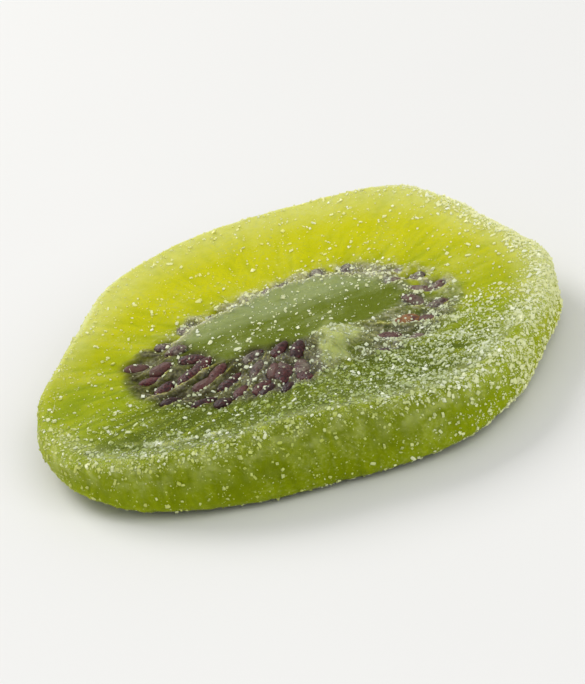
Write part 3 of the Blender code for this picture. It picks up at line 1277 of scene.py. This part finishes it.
@dataclass
class SeedRing:
    """The seeds of both cut faces, each where the solid has it."""

    form: SliceForm
    offset: Vector
    finish: SeedFinish
    length: float = 2.3 * MM
    width: float = 1.35 * MM
    thickness: float = 0.95 * MM
    taper: float = 0.4
    sink: float = 0.08 * MM
    turn: float = math.radians(28.0)
    angle_spread: float = 0.2
    share_spread: float = 0.07
    slope_step: float = 0.04
    bridge_room: float = 0.4
    sides: int = 16
    rings: int = 10
    smallest: float = 0.92
    largest: float = 1.15
    plumpness: float = 1.12
    lump_size: float = 0.55 * MM
    lump_height: float = 0.10 * MM
    extra_sink: float = 0.08 * MM
    frost: float = 0.08
    off_bare: float = 0.6
    white: float = 0.8
    tone: float = 0.9
    right_tone: Rise = Rise(7.0 * MM, 10.0 * MM, 0.2)
    off_amber: Rise = Rise(0.9, 0.95, 0.7)
    veil_back: Rise = Rise(-1.0 * MM, 3.0 * MM, 0.9)
    veil_left: Rise = Rise(-11.5 * MM, -8.0 * MM)
    veil_middle: Rise = Rise(-8.0 * MM, -3.0 * MM)
    veil_right: Rise = Rise(5.0 * MM, 8.0 * MM)
    veil_in_middle: tuple[float, float] = (-0.9, 0.7)
    veil_at_right: tuple[float, float] = (-0.7, 0.5)
    upper_rows: tuple[SeedRow, ...] = (
        SeedRow(0.88),
        SeedRow(0.72, 218.0, 58.0),
        SeedRow(0.73, 355.0, 36.0),
        SeedRow(0.56, 224.0, 50.0),
        SeedRow(0.40, 235.0, 40.0, 2),
    )
    lower_rows: tuple[SeedRow, ...] = (SeedRow(0.86),)
    random_seed: int = 11

    def spots(self, rows: Sequence[SeedRow], draw: random.Random) -> Iterator[tuple[float, float, float]]:
        """Where the seeds of a face are, loosely in rows in the chambers.

        Args:
            rows: The face's rows.
            draw: The random numbers.

        Returns:
            The angle, zone share and turn of each seed.
        """
        for row in rows:
            for chamber in range(self.form.chambers):
                shift = draw.uniform(-self.angle_spread, self.angle_spread)
                angle = (chamber + 0.5 + shift) * math.tau / self.form.chambers
                share = row.share + draw.uniform(-self.share_spread, self.share_spread)
                turn = draw.uniform(-self.turn, self.turn)
                if row.has(chamber, angle):
                    yield angle, share, turn

    def pose(self, angle: float, share: float, turn: float, face: Face) -> Matrix:
        """How a seed lies: along the slope of its face and half sunk.

        Args:
            angle: The direction from the middle of the core.
            share: The zone share.
            turn: How far it is turned from its chamber.
            face: The face it lies in.

        Returns:
            Its transform, from the middle of the core.
        """
        here = self.form.place(angle, share, face.value)
        along = (self.form.place(angle, share + self.slope_step, face.value) - here).normalized()
        beside = self.form.place(angle + self.slope_step, share, face.value) - here
        up = along.cross(beside).normalized() * (1.0 if face is Face.UPPER else -1.0)
        axes = Matrix((along, up.cross(along), up)).transposed() @ Matrix.Rotation(turn, 3, "Z")
        return Matrix.Translation(here - up * self.sink) @ axes.to_4x4()

    def poses(self) -> list[Matrix]:
        """Where the seeds of both faces are. There are none under the bridge.

        Returns:
            Each seed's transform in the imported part's frame.
        """
        draw = random.Random(self.random_seed)
        poses = []
        for face, rows in ((Face.UPPER, self.upper_rows), (Face.LOWER, self.lower_rows)):
            for angle, share, turn in self.spots(rows, draw):
                pose = self.pose(angle, share, turn, face)
                bridge = self.form.bridge.at(*pose.translation.xy)
                if face is Face.LOWER or bridge <= self.bridge_room:
                    poses.append(Matrix.Translation(self.offset) @ pose)
        return poses

    def middles(self) -> kdtree.KDTree:
        """Gathers the seeds' middles.

        Returns:
            The middles, to look up by place.
        """
        poses = self.poses()
        tree = kdtree.KDTree(len(poses))
        for index, pose in enumerate(poses):
            tree.insert(pose.translation, index)
        tree.balance()
        return tree

    def marks(self, place: Vector, draw: random.Random) -> dict[Mark, float]:
        """How a seed looks: most are veiled by sugar at the back, some at the right, fewer in the middle.

        Args:
            place: Where it is, from the middle of the core.
            draw: The random numbers.

        Returns:
            The amount of each mark that its skin or the sugar on it reads.
        """
        tone = self.tone * draw.random() + self.right_tone.at(place.x)
        back = self.veil_back.at(place.y) * self.veil_left.at(place.x)
        right = draw.uniform(*self.veil_at_right) * self.veil_right.at(place.x)
        middle = draw.uniform(*self.veil_in_middle) * self.veil_middle.at(place.x)
        veil = max(back, right, middle) * (1.0 - self.off_amber.at(tone))
        frost = self.frost * (1.0 - self.off_bare * self.form.bare(place))
        return {Mark.TONE: tone, Mark.FROST: frost, Mark.HAZE: veil, Mark.WHITE: self.white, Mark.GLOW: 0.0}

    def build(self) -> bpy.types.Object:
        """Makes all the seeds as one piece.

        Returns:
            The dressed piece.
        """
        mesh = bmesh.new()
        read = (Mark.TONE, Mark.FROST, Mark.HAZE, Mark.WHITE, Mark.GLOW)
        layers = {mark: mesh.verts.layers.float.new(mark.value) for mark in read}
        draw = random.Random(self.random_seed + 1)
        upright = Matrix.Rotation(math.pi / 2.0, 4, "Y")
        size = Matrix.Diagonal((self.length, self.width, self.thickness, 1.0))
        sunk = Matrix.Translation((0.0, 0.0, -self.extra_sink))
        for pose in self.poses():
            made = bmesh.ops.create_uvsphere(mesh, u_segments=self.sides, v_segments=self.rings, radius=0.5)
            bmesh.ops.transform(mesh, verts=made["verts"], matrix=upright)
            marks = self.marks(pose.translation - self.offset, draw)
            growth = draw.uniform(self.smallest, self.largest)
            plump = growth * self.plumpness
            grown = sunk @ Matrix.Diagonal((growth, plump, plump, 1.0))
            for vertex in made["verts"]:
                vertex.co.yz *= 1.0 - self.taper * (0.5 - vertex.co.x)
                for mark, amount in marks.items():
                    vertex[layers[mark]] = amount
            bmesh.ops.transform(mesh, verts=made["verts"], matrix=pose @ grown @ size)
            for vertex in made["verts"]:
                outwards = (vertex.co - pose.translation).normalized()
                vertex.co += outwards * self.lump_height * noise.noise(vertex.co / self.lump_size)
        bmesh.ops.recalc_face_normals(mesh, faces=mesh.faces)
        return add_piece("seeds", mesh, self.finish.material())


@dataclass(frozen=True)
class SugarFinish:
    """Sugar crystals: clear white, tinted by the flesh they lie on, yellow where its painted glow is."""

    white: Colour = (0.88, 0.91, 0.78)
    on_green: Colour = (0.27, 0.35, 0.02)
    on_yellow: Colour = (0.80, 0.79, 0.24)
    roughness: float = 0.35
    sheen: float = 0.4

    def material(self) -> bpy.types.Material:
        """Makes the material, which reads each crystal's tone and the painted glow of the flesh under it.

        Returns:
            The material.
        """
        shading = Shading("sugar_crystal")
        # Painted light: crystals on flesh with painted glow take its yellow.
        tinted = shading.blend(self.on_green, self.on_yellow, shading.mark(Mark.GLOW))
        return shading.finish(
            Base_Color=shading.blend(self.white, tinted, shading.mark(Mark.TONE)),
            Roughness=self.roughness,
            Specular_IOR_Level=self.sheen,
        )


class Ground:
    """The surface of the flesh and the seeds, as what sugar is strewn on."""

    smallest_area: float = 1e-18

    def __init__(self, pieces: Sequence[bpy.types.Object]) -> None:
        """Reads the pieces' triangles, and how much sugar each takes.

        Args:
            pieces: The finished pieces.
        """
        read = [self.triangles_of(piece.data) for piece in pieces]
        self.triangles, frost, self.glow, self.white = (np.concatenate(parts) for parts in zip(*read))
        first, second, third = (self.triangles[:, corner] for corner in range(3))
        cross = np.cross(second - first, third - first)
        doubled = np.linalg.norm(cross, axis=1)
        self.normals = cross / np.maximum(doubled, self.smallest_area)[:, None]
        self.shares = doubled * frost / (doubled * frost).sum()

    @staticmethod
    def triangles_of(data: bpy.types.Mesh) -> tuple[np.ndarray, ...]:
        """Reads a mesh, its faces sorted by their corners, as spinning leaves them in another order each run.

        Args:
            data: The mesh.

        Returns:
            Its triangles' corners, and the frost, the glow and the whiteness of the sugar on each triangle.
        """
        rings = [tuple(face.vertices) for face in data.polygons]
        starts = [ring.index(min(ring)) for ring in rings]
        rings = sorted(ring[start:] + ring[:start] for ring, start in zip(rings, starts))
        corners = np.array([(ring[0], *pair) for ring in rings for pair in zip(ring[1:], ring[2:])])
        points = np.zeros(len(data.vertices) * 3, np.float32)
        data.vertices.foreach_get("co", points)
        marks = []
        for mark in (Mark.FROST, Mark.GLOW, Mark.WHITE):
            amounts = np.zeros(len(data.vertices), np.float32)
            data.attributes[mark.value].data.foreach_get("value", amounts)
            marks.append(amounts[corners].mean(axis=1).astype(float))
        return points.reshape(-1, 3)[corners].astype(float), *marks

    def spots(self, count: int, draw: np.random.Generator) -> tuple[np.ndarray, ...]:
        """Random places on the surface, more of them where more sugar lies.

        Args:
            count: How many.
            draw: The random numbers.

        Returns:
            The places, and the surface's normals, its glow and the sugar's whiteness there.
        """
        chosen = draw.choice(len(self.shares), count, p=self.shares)
        across, along = draw.random((2, count, 1))
        over = across + along > 1.0
        across, along = np.where(over, 1.0 - across, across), np.where(over, 1.0 - along, along)
        first, second, third = (self.triangles[chosen, corner] for corner in range(3))
        places = first + across * (second - first) + along * (third - first)
        return places, self.normals[chosen], self.glow[chosen], self.white[chosen]


@dataclass(frozen=True)
class Crystals:
    """One kind of sugar crystal, and how it lies."""

    name: str
    count: int
    smallest: float
    largest: float
    flatness: float
    sink: float
    shape: Crystal
    random_seed: int
    grain_radius: float = 0.6
    slant: tuple[float, float] = (0.22, 0.12)
    bevel: float = 0.2
    smallness: float = 1.8
    thinnest: float = 0.6
    widest: float = 1.15
    longest: float = 1.7
    lean: float = 0.6
    tint: float = 1.5
    clear_on_side: float = 0.15
    whitening: float = 0.75

    def one(self) -> tuple[np.ndarray, np.ndarray]:
        """A crystal of unit size.

        Returns:
            Its corners, and its triangles as indices of corners.
        """
        mesh = bmesh.new()
        if self.shape is Crystal.GRAIN:
            bmesh.ops.create_uvsphere(mesh, u_segments=4, v_segments=2, radius=self.grain_radius)
        else:
            bmesh.ops.create_cube(mesh, size=1.0)
            bmesh.ops.transform(mesh, verts=mesh.verts, matrix=Matrix.Shear("XY", 4, self.slant))
        if self.shape is Crystal.BEVELLED:
            bmesh.ops.bevel(
                mesh,
                geom=mesh.edges[:],
                offset=self.bevel,
                offset_type="OFFSET",
                affect="EDGES",
                segments=1,
                profile=0.5,
                material=-1,
            )
        bmesh.ops.triangulate(mesh, faces=mesh.faces)
        mesh.verts.index_update()
        corners = np.array([point.co[:] for point in mesh.verts])
        triangles = np.array([[point.index for point in face.verts] for face in mesh.faces])
        mesh.free()
        return corners, triangles

    def axes(self, normals: np.ndarray, draw: np.random.Generator) -> np.ndarray:
        """How the crystals are turned. Flat ones lie closer to the surface.

        Args:
            normals: The surface's normal at each crystal.
            draw: The random numbers.

        Returns:
            For each crystal, its X, Y and Z axes as the columns of a matrix.
        """
        up = normals + (1.0 - self.flatness) * draw.normal(0.0, self.lean, normals.shape)
        up /= np.linalg.norm(up, axis=1)[:, None]
        side = np.cross(up, draw.normal(0.0, 1.0, normals.shape))
        side /= np.linalg.norm(side, axis=1)[:, None]
        return np.stack((side, np.cross(up, side), up), axis=2)

    def build(self, ground: Ground, material: bpy.types.Material) -> bpy.types.Object:
        """Strews the kind over the flesh.

        Args:
            ground: The surface it lies on.
            material: What it is made of.

        Returns:
            The dressed piece.
        """
        draw = np.random.default_rng(self.random_seed)
        places, normals, glow, white = ground.spots(self.count, draw)
        corners, triangles = self.one()
        size = self.smallest + (self.largest - self.smallest) * draw.random(self.count) ** self.smallness
        shape = draw.uniform(self.thinnest, self.widest, (self.count, 3)) * size[:, None]
        shape[:, 0] *= draw.uniform(1.0, self.longest, self.count)
        shape[:, 2] *= 1.0 - self.flatness
        axes = self.axes(normals, draw)
        centres = places + normals * (shape[:, 2] * (0.5 - self.sink))[:, None]
        points = np.einsum("nij,nkj->nki", axes, corners[None] * shape[:, None]) + centres[:, None]
        points[:, :, 2] = np.maximum(points[:, :, 2], 0.0)
        faces = triangles[None] + len(corners) * np.arange(self.count)[:, None, None]
        data = bpy.data.meshes.new(self.name)
        data.from_pydata(points.reshape(-1, 3), [], faces.reshape(-1, 3))
        facing = self.clear_on_side + (1.0 - self.clear_on_side) * np.abs(normals[:, 2])
        clear = (1.0 - np.sqrt(draw.random(self.count))) ** self.tint * facing
        for mark, amounts in ((Mark.TONE, (1.0 - clear) * (1.0 - self.whitening * white)), (Mark.GLOW, glow)):
            spread = np.repeat(amounts, len(corners)).astype(np.float32)
            data.attributes.new(mark.value, "FLOAT", "POINT").data.foreach_set("value", spread)
        data.update()
        data.materials.append(material)
        return add_object(self.name, data)


@dataclass
class SugarCoat:
    """The sugar on the slice, one piece for each kind of crystal."""

    ground: Ground
    finish: SugarFinish
    kinds: tuple[Crystals, ...] = (
        Crystals("sugar_dust", 16500, 0.06 * MM, 0.12 * MM, 0.1, 0.3, Crystal.GRAIN, 20),
        Crystals("sugar_fine", 11500, 0.10 * MM, 0.21 * MM, 0.1, 0.35, Crystal.GRAIN, 21),
        Crystals("sugar_blocks", 4500, 0.15 * MM, 0.28 * MM, 0.25, 0.4, Crystal.BLOCK, 24),
        Crystals("sugar_coarse", 850, 0.22 * MM, 0.36 * MM, 0.35, 0.45, Crystal.BEVELLED, 22),
        Crystals("sugar_flakes", 10, 0.28 * MM, 0.44 * MM, 0.75, 0.3, Crystal.BEVELLED, 23),
    )

    def build(self) -> list[bpy.types.Object]:
        """The dressed pieces, one of each kind and all with one finish."""
        material = self.finish.material()
        return [kind.build(self.ground, material) for kind in self.kinds]


@dataclass(frozen=True)
class Lamp:
    """A soft square lamp that looks at the slice."""

    name: str
    place: tuple[float, float, float]
    size: float
    power: float
    colour: Colour = (1.0, 1.0, 1.0)

    def light(self, target: Vector) -> None:
        """Hangs the lamp.

        Args:
            target: What it is turned to.
        """
        data = bpy.data.lights.new(self.name, "AREA")
        data.energy = self.power
        data.color = self.colour
        data.size = self.size
        lamp = add_object(self.name, data)
        lamp.location = self.place
        lamp.rotation_euler = (target - lamp.location).to_track_quat("-Z", "Y").to_euler()


@dataclass
class Studio:
    """A plain pale table, soft lamps and the camera."""

    target: Vector
    elevation: float = math.radians(25.0)
    roll: float = math.radians(16.5)
    distance: float = 0.45
    nearest: float = 0.01
    field_width: float = 48.5 * MM
    sensor_width: float = 36.0
    table_size: float = 3.0
    table_colour: Colour = (0.80, 0.80, 0.79)
    table_shade: Colour = (0.77, 0.77, 0.76)
    table_mottle: Speckle = Speckle(50.0 * MM, 2.0)
    table_roughness: float = 0.7
    sky: float = 0.50
    lamps: tuple[Lamp, ...] = (
        Lamp("key_lamp", (-0.28, 0.42, 0.40), 0.35, 2.5, (1.0, 0.985, 0.95)),
        Lamp("fill_lamp", (0.24, -0.48, 0.40), 0.50, 2.5),
    )

    def camera(self) -> None:
        """Puts the camera where it sees the slice from the front, a little from above and tilted sideways."""
        data = bpy.data.cameras.new("camera")
        data.sensor_fit = "HORIZONTAL"
        data.sensor_width = self.sensor_width
        data.lens = self.sensor_width * self.distance / self.field_width
        data.clip_start = self.nearest
        level = Vector((1.0, 0.0, 0.0))
        upright = Vector((0.0, math.sin(self.elevation), math.cos(self.elevation)))
        back = Vector((0.0, -math.cos(self.elevation), math.sin(self.elevation)))
        right = math.cos(self.roll) * level - math.sin(self.roll) * upright
        axes = Matrix((right, back.cross(right), back)).transposed()
        camera = add_object("camera", data)
        camera.matrix_world = Matrix.Translation(self.target + back * self.distance) @ axes.to_4x4()
        bpy.context.scene.camera = camera

    def table(self) -> bpy.types.Object:
        """Makes the table under the slice.

        Returns:
            The table, which isn't part of the object.
        """
        mesh = bmesh.new()
        bmesh.ops.create_grid(mesh, x_segments=2, y_segments=2, size=self.table_size / 2.0)
        shading = Shading("pale_table")
        tint = shading.blend(self.table_colour, self.table_shade, shading.speckle(self.table_mottle))
        return add_piece("table", mesh, shading.finish(Base_Color=tint, Roughness=self.table_roughness))

    def build(self) -> bpy.types.Object:
        """Sets the world, the lamps, the camera and the table.

        Returns:
            The table.
        """
        world = bpy.data.worlds.new("pale_room")
        world.use_nodes = True
        world.node_tree.nodes["Background"].inputs["Color"].default_value = (1.0, 1.0, 1.0, 1.0)
        world.node_tree.nodes["Background"].inputs["Strength"].default_value = self.sky
        bpy.context.scene.world = world
        bpy.context.scene.view_settings.view_transform = "Standard"
        for lamp in self.lamps:
            lamp.light(self.target)
        self.camera()
        return self.table()


def settle(piece: bpy.types.Object, slot: Slot) -> None:
    """Makes a piece part of the slice, and reports it.

    Args:
        piece: The finished piece.
        slot: Not used.
    """
    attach(piece, BODY)
    triangles = sum(len(face.vertices) - 2 for face in piece.data.polygons)
    LOG.info("%s: %d triangles", piece.name, triangles)


def main() -> None:
    """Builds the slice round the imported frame."""
    logging.basicConfig(level=logging.INFO, format="%(message)s")
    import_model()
    cad_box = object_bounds()
    form = SliceForm()
    offset = form.offset(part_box(NODE))
    seed_ring = SeedRing(form, offset, SeedFinish())
    seeds = seed_ring.build()
    settle(seeds, Slot.SEED)
    flesh = Flesh(form, offset, FleshFinish()).build(seed_ring.middles())
    settle(flesh, Slot.FLESH)
    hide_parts(NODE)
    for piece in SugarCoat(Ground((flesh, seeds)), SugarFinish()).build():
        settle(piece, Slot.SUGAR)
    middle = (cad_box[0] + cad_box[1]) / 2.0
    Studio(middle).build()


if __name__ == "__main__":
    main()
